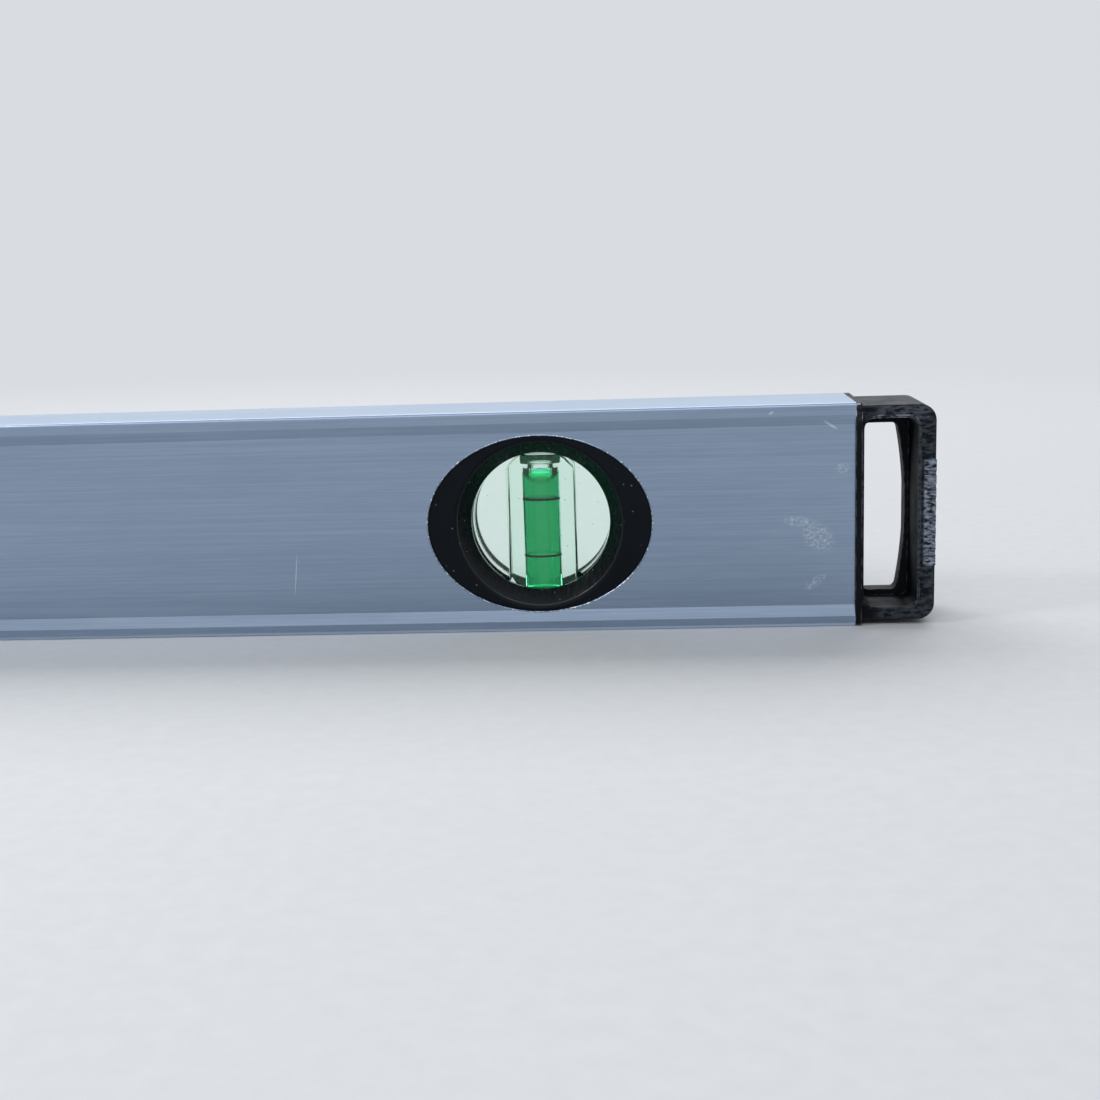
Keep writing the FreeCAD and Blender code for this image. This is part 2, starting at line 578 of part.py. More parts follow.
def make_upright_liquid(name, across):
    """Liquid of a plumb vial: it ends in a hollow meniscus, and the bubble is the space above."""
    body = new_body(name)
    half = new_sketch(body, "half", "XZ_Plane")
    radius = "bore_diameter / 2"
    edge_level = BORE_TOP + " - bubble_height"
    middle_level = edge_level + " - meniscus_sag"
    corners = [("0", middle_level), ("0", BORE_BOTTOM), (radius, BORE_BOTTOM), (radius, edge_level)]
    points = [FreeCAD.Vector(amount(x), amount(z), 0) for x, z in corners]
    lines = [Part.LineSegment(points[i], points[i + 1]) for i in range(3)]
    first = half.addGeometry(lines, False)[0]
    sphere = "(pow(bore_diameter / 2; 2) + pow(meniscus_sag; 2)) / (2 * meniscus_sag)"
    centre = FreeCAD.Vector(0, amount(middle_level) + amount(sphere), 0)
    bowl = Part.Circle(centre, FreeCAD.Vector(0, 0, 1), amount(sphere))
    sweep = math.asin(amount(radius) / amount(sphere))
    arc = half.addGeometry(Part.ArcOfCircle(bowl, 1.5 * math.pi, 1.5 * math.pi + sweep), False)
    half.addConstraint(Sketcher.Constraint("Coincident", first, 2, first + 1, 1))
    half.addConstraint(Sketcher.Constraint("Coincident", first + 1, 2, first + 2, 1))
    half.addConstraint(Sketcher.Constraint("Coincident", first + 2, 2, arc, 2))
    half.addConstraint(Sketcher.Constraint("Coincident", arc, 1, first, 1))
    for index, (x, z) in enumerate(corners[:3]):
        pin_point(half, first + index, 1, x, z)
    pin_point(half, first + 2, 2, radius, edge_level)
    half.addConstraint(Sketcher.Constraint("PointOnObject", arc, 3, -2))
    turn_round(body, "Revolution", half, "V_Axis")
    cut_ring_seats(body)
    place(body, across, "0", "window_height")
    return body


def make_level_liquid(name, across, angle):
    """Liquid of the level vial: it fills the bore and neck, less the long bubble on its upper side."""
    body = new_body(name)
    half = new_sketch(body, "half", "XZ_Plane")
    outline(half, [("0", BORE_BOTTOM), ("bore_diameter / 2", BORE_BOTTOM), ("bore_diameter / 2", BORE_TOP),
                   ("neck_diameter / 2", BORE_TOP), ("neck_diameter / 2", PLUG_BOTTOM), ("0", PLUG_BOTTOM)])
    turn_round(body, "Revolution", half, "V_Axis")
    cut_ring_seats(body)
    floor = "(bore_diameter / 2 - level_bubble_drop)"
    bubble = new_sketch(body, "bubble", "YZ_Plane", "-" + floor)
    ellipse(bubble, "0", RING_MIDDLE, "level_bubble_length", "level_bubble_width", upright=True)
    extrude(body, "Pocket", bubble, "bore_diameter")
    place(body, across, "0", "window_height", (0, 1, 0), angle)
    return body


def make_ring(name, across, along, angle):
    body = new_body(name)
    ring = new_sketch(body, "ring", "XY_Plane", along + " - ring_height / 2")
    circle(ring, "0", "0", "bore_diameter")
    circle(ring, "0", "0", "bore_diameter - 2 * ring_wall")
    extrude(body, "Pad", ring, "ring_height")
    place(body, across, "0", "window_height", (0, 1, 0), angle)
    return body


def make_plug(name, across, angle):
    body = new_body(name)
    plug = new_sketch(body, "plug", "XY_Plane", PLUG_BOTTOM)
    circle(plug, "0", "0", "plug_diameter - 2 * plug_clearance")
    extrude(body, "Pad", plug, "plug_thickness")
    place(body, across, "0", "window_height", (0, 1, 0), angle)
    return body


def make_vial(prefix, across, lying):
    """Every piece of one vial insert. A lying vial has its bore along the level."""
    angle = 90 if lying else 0
    first, second = ("right", "left") if lying else ("upper", "lower")
    liquid = prefix + "_liquid"
    pieces = [make_bezel(prefix + "_front_bezel", across, "front", angle),
              make_bezel(prefix + "_rear_bezel", across, "rear", angle),
              make_vial_block(prefix + "_vial_block", across, angle),
              make_level_liquid(liquid, across, angle) if lying else make_upright_liquid(liquid, across)]
    for side, along in zip((first, second), ring_places()):
        pieces.append(make_ring("%s_%s_ring" % (prefix, side), across, along, angle))
    pieces.append(make_plug(prefix + "_plug", across, angle))
    return pieces


def make_magnet(name, across):
    """Disc magnet with a small chamfer round its outer face, glued into the base."""
    body = new_body(name)
    disc = new_sketch(body, "disc", "XY_Plane")
    circle(disc, "0", "0", "magnet_diameter")
    extrude(body, "Pad", disc, "magnet_thickness")
    dress(body, "Chamfer", "Size", "magnet_edge", lambda edge: near(edge.BoundBox.ZMax, 0))
    place(body, across, "0", "magnet_sink")
    return body


def make_level():
    pieces = [make_profile(), make_end_cap("end_cap_right", 1), make_end_cap("end_cap_left", -1)]
    pieces += make_vial("plumb_right", PLUMB_X, lying=False)
    pieces += make_vial("level", "0", lying=True)
    pieces += make_vial("plumb_left", "-" + PLUMB_X, lying=False)
    for number, across in enumerate(MAGNET_PLACES, 1):
        pieces.append(make_magnet("magnet_%d" % number, across))
    return pieces


def write_parts(pieces):
    """Check every object and every piece, then write one file for each piece."""
    document.recompute()
    for item in document.Objects:
        if "Invalid" in item.State or "Error" in item.State:
            raise ValueError(item.Name + " failed")
    for piece in pieces:
        if piece.Shape.isNull() or not piece.Shape.isValid() or len(piece.Shape.Solids) != 1:
            raise ValueError(piece.Label + " is not one sound solid")
    os.makedirs("parts", exist_ok=True)
    for piece in pieces:
        piece.Shape.exportStep("parts/" + piece.Label + ".step")
        box = piece.Shape.optimalBoundingBox()
        print("%-26s %9.1f mm3  x %7.2f %7.2f  y %6.2f %6.2f  z %6.2f %6.2f" % (
            piece.Label, piece.Shape.Volume, box.XMin, box.XMax, box.YMin, box.YMax, box.ZMin, box.ZMax))


write_parts(make_level())
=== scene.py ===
import math
import random

import bmesh
import bpy
from mathutils import Matrix, Vector


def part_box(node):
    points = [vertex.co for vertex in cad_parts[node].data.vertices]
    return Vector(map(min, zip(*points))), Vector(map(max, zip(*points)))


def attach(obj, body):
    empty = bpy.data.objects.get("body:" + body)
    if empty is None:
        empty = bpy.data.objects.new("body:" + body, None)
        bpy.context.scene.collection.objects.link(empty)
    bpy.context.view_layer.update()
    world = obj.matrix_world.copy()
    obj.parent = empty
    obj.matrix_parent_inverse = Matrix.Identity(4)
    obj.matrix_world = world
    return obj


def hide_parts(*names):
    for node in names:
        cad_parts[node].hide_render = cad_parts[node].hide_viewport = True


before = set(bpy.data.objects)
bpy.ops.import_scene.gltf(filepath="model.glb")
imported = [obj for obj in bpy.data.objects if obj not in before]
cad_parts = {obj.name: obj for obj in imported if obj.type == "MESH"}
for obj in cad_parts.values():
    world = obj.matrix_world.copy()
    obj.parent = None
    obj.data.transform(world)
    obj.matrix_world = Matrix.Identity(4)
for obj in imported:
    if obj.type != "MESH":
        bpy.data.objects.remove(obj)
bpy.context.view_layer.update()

bl_info = {
    "name": "Magnetic spirit level",
    "version": (1, 0, 0),
    "blender": (4, 5, 0),
    "location": "3D View > Sidebar > Spirit Level",
    "description": "Finishes a spirit level: rounded mouldings, milled cut-outs, clear vials, worn surfaces",
    "category": "Object",
}

MM = 0.001

# Measures of the solids that their boxes don't give. Depths run from the level's middle to its front
# or back, and radii from the middle of an insert or of a bore.
PANEL_DEPTH = 11.2 * MM
BOTTOM_SLOPE_TOP = 4.7 * MM
BOTTOM_SLOPE = 0.8 / 2.5
CUT_OUT_GAP = 0.15 * MM
SEAT_DEPTH = 6.9 * MM
WINDOW_RADIUS = 15.0 * MM
FUNNEL_RADIUS = 18.75 * MM
PLUG_SEAT_RADIUS = 5.0 * MM
NECK_RADIUS = 3.15 * MM
NECK_LENGTH = 1.0 * MM
RING_WALL = 0.3 * MM
LEVEL_BUBBLE = Vector((12.4, 6.4, 2.6)) * MM

# Each vial insert by the first part of its nodes' names, and whether its bore lies along the level
VIALS = {"plumb_right": False, "plumb_left": False, "level": True}


def linear(code):
    """An sRGB hex colour such as "#8B9BAF" as linear values, with full opacity."""
    values = [int(code[i:i + 2], 16) / 255 for i in (1, 3, 5)]
    return (*(v / 12.92 if v <= 0.04045 else ((v + 0.055) / 1.055) ** 2.4 for v in values), 1.0)


def length_property(name, description, millimetres):
    return bpy.props.FloatProperty(
        name=name, description=description, default=millimetres * MM, min=0.0, precision=5,
        subtype="DISTANCE", unit="LENGTH")


def colour_property(name, description, code):
    return bpy.props.FloatVectorProperty(
        name=name, description=description, default=linear(code), min=0.0, max=1.0, size=4,
        subtype="COLOR")


class LevelSizes(bpy.types.PropertyGroup):
    """Fine sizes of the finish that the solids leave out."""

    cut_edge: length_property("Cut edge", "Broken edge round the oval cut-outs", 0.16)
    cut_notch: length_property("Cut notch", "Depth of the cutter's notches in that edge", 0.2)
    cap_edge: length_property("Cap edge", "Rounding of the caps' moulded edges", 0.14)
    insert_edge: length_property("Insert edge", "Rounding of the inserts' edges", 0.16)
    block_edge: length_property("Block edge", "Rounding of the clear blocks' edges", 0.15)
    plug_edge: length_property("Plug edge", "Rounding of the plugs' edges", 0.12)
    magnet_edge: length_property("Magnet edge", "Rounding of the magnets' edges", 0.08)
    bubble_climb: length_property("Bubble climb", "How far the liquid climbs the bore beside the bubble", 2.5)
    bubble_depth: length_property("Bubble depth", "Depth of the bubble's round underside", 3.0)
    wetting: length_property("Wetting", "Reach of the liquid into the bore's wall, so no air shows", 0.02)


class LevelColours(bpy.types.PropertyGroup):
    """Colours of the level's finishes."""

    aluminium: colour_property("Aluminium", "Anodised aluminium between the brush lines", "#899AB0")
    aluminium_line: colour_property("Brush line", "The lighter brush lines", "#95A5BA")
    bare_metal: colour_property("Bare metal", "Scratches and cut edges", "#DDE5ED")
    cap: colour_property("Cap", "Moulded end caps", "#0A0D12")
    cap_wear: colour_property("Cap wear", "Edges of the caps rubbed pale", "#97A2B2")
    insert: colour_property("Insert", "Moulded vial inserts", "#0A0F15")
    dust: colour_property("Dust", "Specks that settled on the inserts", "#8E959C")
    acrylic: colour_property("Acrylic", "Tint of the clear blocks", "#F4FDF8")
    liquid: colour_property("Liquid", "Liquid in the vials", "#4FE0AC")
    ring: colour_property("Ring", "Rings in the bore", "#060808")
    nickel: colour_property("Nickel", "Plating of the magnets", "#C3C0BA")
    floor: colour_property("Floor", "Floor under the level", "#DDE0E3")


def add_node(tree, kind, inputs=(), **settings):
    """Add a node with its settings. Its open sockets take the inputs in order, or by name from a dictionary:
    a number or colour is set on the socket, and a node or another socket is linked to it."""
    node = tree.nodes.new("ShaderNode" + kind)
    for name, value in settings.items():
        setattr(node, name, value)
    if isinstance(inputs, dict):
        pairs = [(node.inputs[name], value) for name, value in inputs.items()]
    else:
        pairs = zip([socket for socket in node.inputs if socket.enabled], inputs)
    for socket, value in pairs:
        if isinstance(value, bpy.types.Node):
            value = next(output for output in value.outputs if output.enabled)
        if isinstance(value, bpy.types.NodeSocket):
            tree.links.new(value, socket)
        else:
            socket.default_value = value
    return node


def new_finish(name):
    """A material without nodes: the material, its tree and its object coordinates."""
    material = bpy.data.materials.new(name)
    material.use_nodes = True
    tree = material.node_tree
    tree.nodes.clear()
    return material, tree, add_node(tree, "TexCoord").outputs["Object"]


def grain(tree, place, spacing, detail):
    """Noise whose features are `spacing` millimetres apart along X, Y and Z."""
    scaled = add_node(tree, "Mapping", {"Vector": place, "Scale": [1 / (mm * MM) for mm in spacing]})
    return add_node(tree, "TexNoise", {"Vector": scaled, "Scale": 1.0, "Detail": detail})


def patches(tree, place, spots):
    """1 inside a few ellipsoids, falling to 0 at their skins: their middles and radii in millimetres,
    and their turns about Y in degrees."""
    nearest = 2.0
    for centre, radii, turn in spots:
        moved = add_node(tree, "Mapping", {"Vector": place, "Location": [mm * MM for mm in centre],
                                           "Rotation": (0.0, math.radians(turn), 0.0),
                                           "Scale": [mm * MM for mm in radii]}, vector_type="TEXTURE")
        distance = add_node(tree, "VectorMath", (moved,), operation="LENGTH")
        nearest = add_node(tree, "Math", (distance, nearest), operation="MINIMUM")
    return add_node(tree, "MapRange", (nearest, 1.0, 0.55), interpolation_type="SMOOTHSTEP")


def zone(tree, *ramps):
    """1 where each value is past its ramp, whose two ends are given in millimetres, and 0 before it."""
    inside = 1.0
    for value, low, high in ramps:
        past = add_node(tree, "MapRange", (value, low * MM, high * MM), interpolation_type="SMOOTHSTEP")
        inside = add_node(tree, "Math", (past, inside), operation="MULTIPLY")
    return inside


def specks(tree, place, spacing, share):
    """Small round specks about `spacing` millimetres apart, where only a share of the places has one."""
    scaled = add_node(tree, "Mapping", {"Vector": place, "Scale": [1 / (spacing * MM)] * 3})
    cells = add_node(tree, "TexVoronoi", {"Vector": scaled, "Scale": 1.0})
    chance = add_node(tree, "SeparateColor", (cells.outputs["Color"],))
    present = add_node(tree, "Math", (chance, share), operation="LESS_THAN")
    dot = add_node(tree, "MapRange", (cells.outputs["Distance"], 0.13, 0.07), interpolation_type="SMOOTHSTEP")
    return add_node(tree, "Math", (dot, present), operation="MULTIPLY")


def edge_wear_and_highlight(tree, place, radius):
    """1 along the outer edges of a piece, broken up by noise, where handling has rubbed it; on the profile it
    also serves as a painted edge highlight.
    """
    rounded = add_node(tree, "Bevel", {"Radius": radius * MM}, samples=6)
    flat = add_node(tree, "NewGeometry").outputs["True Normal"]
    likeness = add_node(tree, "VectorMath", (rounded, flat), operation="DOT_PRODUCT")
    edge = add_node(tree, "MapRange", (likeness, 0.985, 0.90), interpolation_type="SMOOTHSTEP")
    uneven = grain(tree, place, (1.6, 1.6, 1.6), 4.0)
    broken = add_node(tree, "MapRange", (uneven, 0.42, 0.62), interpolation_type="SMOOTHSTEP")
    return add_node(tree, "Math", (edge, broken), operation="MULTIPLY")


def brushed_aluminium(colours):
    """Anodised aluminium extrusion, brushed lengthwise.

    It gives a bluish satin grey whose reflections stretch upright, with faint lines along the level,
    cloudy patches, a scratch, scuffs near the end and nicks along the top rim.
    """
    material, tree, place = new_finish("brushed_anodised_aluminium")
    # Real brush lines are under 0.1 mm apart; they are drawn at 0.25 and 0.5 mm so that they show
    lines = grain(tree, place, (60.0, 0.5, 0.5), 3.0)
    hairs = grain(tree, place, (9.0, 0.25, 0.25), 2.0)
    clouds = grain(tree, place, (45.0, 14.0, 14.0), 2.0)
    brushing = add_node(tree, "Math", (clouds, 0.25), operation="MULTIPLY")
    brushing = add_node(tree, "Math", (hairs, 0.3, brushing), operation="MULTIPLY_ADD")
    brushing = add_node(tree, "Math", (lines, 0.45, brushing), operation="MULTIPLY_ADD")
    tone = add_node(tree, "MapRange", (brushing, 0.34, 0.66), interpolation_type="SMOOTHSTEP")
    colour = add_node(tree, "Mix", (tone, colours.aluminium, colours.aluminium_line), data_type="RGBA")

    # Scuffs near the right-hand end, then a scratch and two nicks
    scuffed = patches(tree, place, [((270.3, -11.2, 23.7), (4.4, 3.0, 1.5), 8),
                                    ((274.2, -11.2, 20.2), (4.6, 3.0, 3.4), 35),
                                    ((273.6, -11.2, 10.0), (3.4, 3.0, 1.2), -35),
                                    ((279.6, -11.2, 35.6), (1.8, 3.0, 1.4), 0)])
    rubbing = grain(tree, place, (0.8, 0.8, 0.6), 6.0)
    rubbing = add_node(tree, "MapRange", (rubbing, 0.38, 0.72), interpolation_type="SMOOTHSTEP")
    scuffs = add_node(tree, "Math", (scuffed, rubbing), operation="MULTIPLY")
    cuts = patches(tree, place, [((156.0, -11.2, 13.9), (0.16, 3.0, 5.6), 6.3),
                                 ((276.9, -11.2, 45.2), (2.2, 3.0, 0.35), 33),
                                 ((263.9, -12.0, 48.2), (0.7, 3.0, 0.35), -30)])
    marks = add_node(tree, "Math", (scuffs, cuts), operation="MAXIMUM")
    marks = add_node(tree, "Math", (marks, 0.45), operation="MULTIPLY")
    # The profile's sharp edges turn to bare metal here: partly real rubbing, partly a painted highlight along
    # those edges
    rims = add_node(tree, "Math", (edge_wear_and_highlight(tree, place, 0.3), 0.5), operation="MULTIPLY")
    marks = add_node(tree, "Math", (marks, rims), operation="MAXIMUM")

    wear_and_edge_highlight = add_node(tree, "Mix", (marks, colour, colours.bare_metal), data_type="RGBA")
    satin = add_node(tree, "MapRange", (brushing, 0.34, 0.66, 0.30, 0.325), interpolation_type="SMOOTHSTEP")
    rough = add_node(tree, "Math", (marks, 0.1, satin), operation="MULTIPLY_ADD")
    relief = add_node(tree, "Bump", {"Height": brushing, "Distance": 0.002 * MM})
    # The lines lie along X, so reflections stretch at right angles to them
    along = add_node(tree, "CombineXYZ", (1.0, 0.0, 0.0))
    metal = add_node(tree, "BsdfPrincipled", {
        "Base Color": wear_and_edge_highlight, "Metallic": 1.0, "Roughness": rough, "Anisotropic": 0.4,
        "Anisotropic Rotation": 0.25, "Tangent": along, "Normal": relief})
    add_node(tree, "OutputMaterial", {"Surface": metal})
    return material


def milled_aluminium(colours):
    """Bare aluminium left by a milling cutter: a bright edge with short, uneven notches."""
    material, tree, place = new_finish("milled_bare_aluminium")
    notches = grain(tree, place, (0.7, 0.7, 0.7), 3.0)
    bright = add_node(tree, "MapRange", (notches, 0.52, 0.64), interpolation_type="SMOOTHSTEP")
    colour = add_node(tree, "Mix", (bright, linear("#7F90A4"), colours.bare_metal), data_type="RGBA")
    rough = add_node(tree, "MapRange", (notches, 0.35, 0.65, 0.22, 0.42), interpolation_type="SMOOTHSTEP")
    relief = add_node(tree, "Bump", {"Height": notches, "Distance": 0.05 * MM})
    metal = add_node(tree, "BsdfPrincipled", {
        "Base Color": colour, "Metallic": 1.0, "Roughness": rough, "Normal": relief})
    add_node(tree, "OutputMaterial", {"Surface": metal})
    return material


def moulded_cap_plastic(colours):
    """ABS moulded in a spark-eroded tool: matt black, grained, rubbed pale along edges and on the grip."""
    material, tree, place = new_finish("moulded_abs_cap")
    # The mould's grain is about 0.15 mm; it is drawn at 0.35 mm so that it shows
    pits = grain(tree, place, (0.35, 0.35, 0.35), 3.0)
    blotches = grain(tree, place, (5.0, 5.0, 5.0), 4.0)
    mottle = add_node(tree, "MapRange", (blotches, 0.35, 0.65), interpolation_type="SMOOTHSTEP")
    shade = add_node(tree, "Mix", (mottle, colours.cap, linear("#12161B")), data_type="RGBA")

    # Where hands and benches rub: the front and back of the frame, its top and the raised grips
    place_parts = add_node(tree, "SeparateXYZ", (place,))
    height = place_parts.outputs["Z"]
    outward = add_node(tree, "Math", (place_parts.outputs["X"],), operation="ABSOLUTE")
    sideways = add_node(tree, "Math", (place_parts.outputs["Y"],), operation="ABSOLUTE")
    front = zone(tree, (sideways, 10.6, 11.4), (outward, 286.0, 289.0))
    top = zone(tree, (height, 45.4, 46.4))
    grip = zone(tree, (outward, 297.0, 297.6), (height, 12.8, 13.6), (height, 37.6, 36.8))
    handled = add_node(tree, "Math", (top, 0.1), operation="MULTIPLY")
    handled = add_node(tree, "Math", (front, 0.2, handled), operation="MULTIPLY_ADD")
    handled = add_node(tree, "Math", (handled, grip), operation="MAXIMUM")
    scrapes = grain(tree, place, (1.5, 0.9, 0.6), 6.0)
    scrapes = add_node(tree, "MapRange", (scrapes, 0.36, 0.66), interpolation_type="SMOOTHSTEP")
    scrapes = add_node(tree, "Math", (scrapes, handled), operation="MULTIPLY")

    edges = edge_wear_and_highlight(tree, place, 0.4)
    wear_and_edge_highlight = add_node(tree, "Math", (edges, 0.45), operation="MULTIPLY")
    wear_and_edge_highlight = add_node(tree, "Math", (wear_and_edge_highlight, scrapes), operation="MAXIMUM")
    shade = add_node(tree, "Mix", (wear_and_edge_highlight, shade, colours.cap_wear), data_type="RGBA")
    chalky = add_node(tree, "MapRange", (edges, 0.55, 0.95), interpolation_type="SMOOTHSTEP")
    chalky = add_node(tree, "Math", (chalky, top), operation="MULTIPLY")
    shade = add_node(tree, "Mix", (chalky, shade, linear("#C4CBD4")), data_type="RGBA")
    rough = add_node(tree, "MapRange", (blotches, 0.3, 0.7, 0.48, 0.62), interpolation_type="SMOOTHSTEP")
    height = add_node(tree, "Math", (scrapes, 0.8, pits), operation="MULTIPLY_ADD")
    relief = add_node(tree, "Bump", {"Height": height, "Distance": 0.04 * MM})
    plastic = add_node(tree, "BsdfPrincipled", {
        "Base Color": shade, "Roughness": rough, "Specular IOR Level": 0.1, "Normal": relief})
    add_node(tree, "OutputMaterial", {"Surface": plastic})
    return material


def satin_insert_plastic(colours):
    """Smooth ABS moulding with a satin face: near black, with faint grain and a few specks of dust."""
    material, tree, place = new_finish("moulded_abs_insert_satin")
    fine = grain(tree, place, (0.4, 0.4, 0.4), 2.0)
    blotches = grain(tree, place, (9.0, 9.0, 9.0), 3.0)
    mottle = add_node(tree, "MapRange", (blotches, 0.35, 0.65), interpolation_type="SMOOTHSTEP")
    shade = add_node(tree, "Mix", (mottle, colours.insert, linear("#0E141B")), data_type="RGBA")
    dust = add_node(tree, "Math", (specks(tree, place, 1.7, 0.2), 0.6), operation="MULTIPLY")
    shade = add_node(tree, "Mix", (dust, shade, colours.dust), data_type="RGBA")
    rough = add_node(tree, "MapRange", (blotches, 0.3, 0.7, 0.34, 0.46), interpolation_type="SMOOTHSTEP")
    relief = add_node(tree, "Bump", {"Height": fine, "Distance": 0.006 * MM})
    plastic = add_node(tree, "BsdfPrincipled", {
        "Base Color": shade, "Roughness": rough, "Specular IOR Level": 0.1, "Normal": relief})
    add_node(tree, "OutputMaterial", {"Surface": plastic})
    return material


def polished_insert_plastic(colours):
    """The insert's funnel, moulded against a polished tool: black gloss with dust and hairline scratches."""
    material, tree, place = new_finish("moulded_abs_insert_polished")
    hairlines = grain(tree, place, (0.5, 3.0, 3.0), 2.0)
    dust = add_node(tree, "Math", (specks(tree, place, 1.3, 0.3), 0.8), operation="MULTIPLY")
    shade = add_node(tree, "Mix", (dust, colours.insert, colours.dust), data_type="RGBA")
    rough = add_node(tree, "MapRange", (hairlines, 0.35, 0.65, 0.22, 0.28), interpolation_type="SMOOTHSTEP")
    relief = add_node(tree, "Bump", {"Height": hairlines, "Distance": 0.001 * MM})
    plastic = add_node(tree, "BsdfPrincipled", {
        "Base Color": shade, "Roughness": rough, "Specular IOR Level": 0.4, "Normal": relief})
    add_node(tree, "OutputMaterial", {"Surface": plastic})
    return material


def polished_acrylic(colours):
    """Clear acrylic moulding, polished, with specks: tinted green along long paths, with a painted faint glow
    for the dye's green that it carries to its edges.
    """
    material, tree, place = new_finish("polished_clear_acrylic")
    dust = specks(tree, place, 1.5, 0.25)
    tint = add_node(tree, "Mix", (dust, colours.acrylic, colours.dust), data_type="RGBA")
    haze = grain(tree, place, (6.0, 6.0, 6.0), 3.0)
    smooth = add_node(tree, "MapRange", (haze, 0.3, 0.7, 0.01, 0.05), interpolation_type="SMOOTHSTEP")
    rough = add_node(tree, "Math", (dust, 0.5, smooth), operation="MULTIPLY_ADD")
    clear = add_node(tree, "BsdfPrincipled", {
        "Base Color": tint, "Roughness": rough, "IOR": 1.49, "Specular IOR Level": 0.25,
        "Transmission Weight": 1.0})
    # Long paths through the block turn green, and a painted faint glow stands in for the light of the
    # liquid's dye that the block carries
    passing = add_node(tree, "VolumeAbsorption", {"Color": linear("#89EDBC"), "Density": 22.0})
    painted_glow = add_node(tree, "Emission", {"Color": linear("#00FFB3"), "Strength": 1.2})
    filling = add_node(tree, "AddShader", (passing, painted_glow))
    add_node(tree, "OutputMaterial", {"Surface": clear, "Volume": filling})
    return material


def vial_liquid(colours):
    """Fluorescent vial fluid: a clear green with a painted glow for its fluorescence, solid to the eye where
    deep, thin at the bubble, with a painted highlight under the bubble.
    """
    material, tree, place = new_finish("fluorescent_vial_fluid")
    swirl = grain(tree, place, (6.0, 6.0, 12.0), 1.0)
    swirl = add_node(tree, "MapRange", (swirl, 0.3, 0.7), interpolation_type="SMOOTHSTEP")
    tint = add_node(tree, "Mix", (swirl, colours.liquid, linear("#62E8B6")), data_type="RGBA")
    # A painted highlight: the bubble's underside glows as a bright crescent where its faces turn upward
    facing = add_node(tree, "SeparateXYZ", (add_node(tree, "NewGeometry").outputs["True Normal"],))
    upward = facing.outputs["Z"]
    rising = add_node(tree, "MapRange", (upward, 0.1, 0.5), interpolation_type="SMOOTHSTEP")
    flat = add_node(tree, "MapRange", (upward, 0.97, 0.8, 0.05, 0.4), interpolation_type="SMOOTHSTEP")
    painted_crescent_highlight = add_node(tree, "Math", (rising, flat), operation="MULTIPLY")
    fluid = add_node(tree, "BsdfPrincipled", {
        "Base Color": tint, "Roughness": 0.02, "IOR": 1.36, "Specular IOR Level": 0.2,
        "Transmission Weight": 1.0, "Emission Color": linear("#00FFB3"), "Emission Strength": painted_crescent_highlight})
    # The dye's fluorescence is painted as a glow of fixed strength, whatever light falls on the liquid
    passing = add_node(tree, "VolumeAbsorption", {"Color": linear("#00C4AA"), "Density": 700.0})
    painted_glow = add_node(tree, "Emission", {"Color": linear("#00FFBF"), "Strength": 88.0})
    filling = add_node(tree, "AddShader", (passing, painted_glow))
    add_node(tree, "OutputMaterial", {"Surface": fluid, "Volume": filling})
    return material


def moulded_rubber(colours):
    """Nitrile rubber rings: matt black, slightly uneven."""
    material, tree, place = new_finish("moulded_nitrile_ring")
    uneven = grain(tree, place, (0.3, 0.3, 0.3), 2.0)
    shade = add_node(tree, "Mix", (uneven, colours.ring, linear("#0E1110")), data_type="RGBA")
    relief = add_node(tree, "Bump", {"Height": uneven, "Distance": 0.01 * MM})
    rubber = add_node(tree, "BsdfPrincipled", {"Base Color": shade, "Roughness": 0.6, "Normal": relief})
    add_node(tree, "OutputMaterial", {"Surface": rubber})
    return material


def nickel_plate(colours):
    """Nickel plating on pressed magnets: a warm bright metal with dull rubbed patches and fine scratches."""
    material, tree, place = new_finish("nickel_plated_magnet")
    rubs = grain(tree, place, (3.0, 3.0, 3.0), 4.0)
    scratches = grain(tree, place, (0.25, 5.0, 5.0), 2.0)
    dull = add_node(tree, "MapRange", (rubs, 0.4, 0.65), interpolation_type="SMOOTHSTEP")
    shade = add_node(tree, "Mix", (dull, colours.nickel, linear("#A9A6A0")), data_type="RGBA")
    rough = add_node(tree, "MapRange", (rubs, 0.35, 0.65, 0.18, 0.38), interpolation_type="SMOOTHSTEP")
    relief = add_node(tree, "Bump", {"Height": scratches, "Distance": 0.01 * MM})
    metal = add_node(tree, "BsdfPrincipled", {
        "Base Color": shade, "Metallic": 1.0, "Roughness": rough, "Normal": relief})
    add_node(tree, "OutputMaterial", {"Surface": metal})
    return material


def matt_paper(colours):
    """Matt paper for the floor: pale, faintly fibrous, fading out round the level."""
    material, tree, place = new_finish("matt_paper_floor")
    fibres = grain(tree, place, (4.0, 4.0, 4.0), 3.0)
    shade = add_node(tree, "Mix", (fibres, colours.floor, linear("#E6E9EC")), data_type="RGBA")
    paper = add_node(tree, "BsdfPrincipled", {
        "Base Color": shade, "Roughness": 0.9, "Specular IOR Level": 0.1})
    distance = add_node(tree, "VectorMath", (place,), operation="LENGTH")
    fade = add_node(tree, "MapRange", (distance, 0.34, 0.85), interpolation_type="SMOOTHSTEP")
    under = add_node(tree, "NewGeometry").outputs["Backfacing"]
    # Rays that leave the level's base pass through, so the base isn't black when it is seen from below
    reach = add_node(tree, "LightPath").outputs["Ray Length"]
    close = add_node(tree, "Math", (reach, 1.5 * MM), operation="LESS_THAN")
    open_share = add_node(tree, "Math", (under, close), operation="MAXIMUM")
    open_share = add_node(tree, "Math", (open_share, fade), operation="MAXIMUM")
    nothing = add_node(tree, "BsdfTransparent")
    surface = add_node(tree, "MixShader", (open_share, paper, nothing))
    add_node(tree, "OutputMaterial", {"Surface": surface})
    return material


